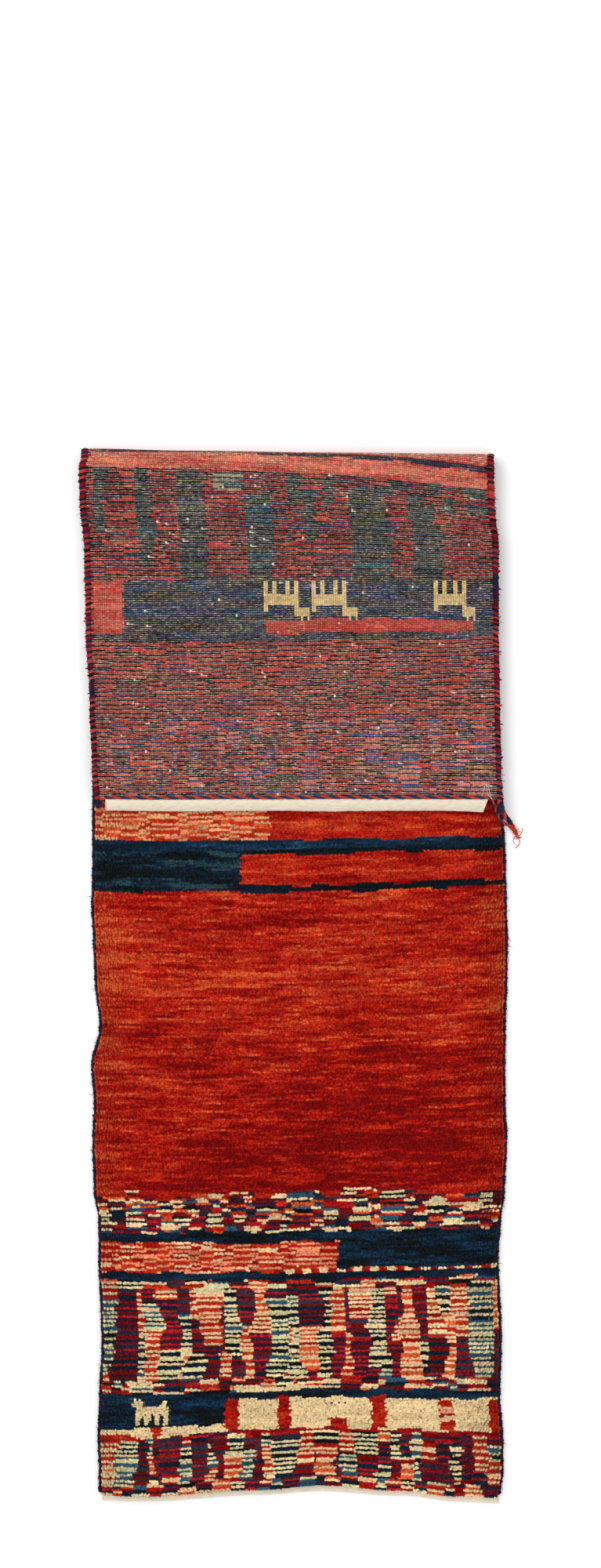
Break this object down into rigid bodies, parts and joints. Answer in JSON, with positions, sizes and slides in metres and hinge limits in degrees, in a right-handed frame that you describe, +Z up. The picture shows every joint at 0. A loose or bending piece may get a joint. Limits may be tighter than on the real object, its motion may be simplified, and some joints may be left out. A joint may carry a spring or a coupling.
{
  "type": "gabbeh rug",
  "caption": "Hand-knotted wool runner lying pile up, one end folded over to show its woven back, with overcast sides and a frayed loose end.",
  "frame": {"origin": "on the floor under the middle of the folded rug", "axes": "+Z up from the floor, +Y along the rug towards its fold, +X across to the side with the loose selvedge end"},
  "size_m": [0.69, 1.6319, 0.0351],
  "materials": {
    "rug_wool": "hand-spun wool pile in abrash reds with navy, cream and salmon bands; ribbed woven back; cream plain-weave hem",
    "selvedge_wool": "red and dark blue wool overcast in turns, fuzzy",
    "twining_wool": "red and dark blue twined wool",
    "yarn_red": "frayed red wool yarn"
  },
  "bodies": {
    "root": {"rug": "rug_wool", "selvedge_left": "selvedge_wool", "selvedge_right": "selvedge_wool", "twining": "twining_wool", "yarn_ends": "yarn_red"}
  },
  "joints": []
}
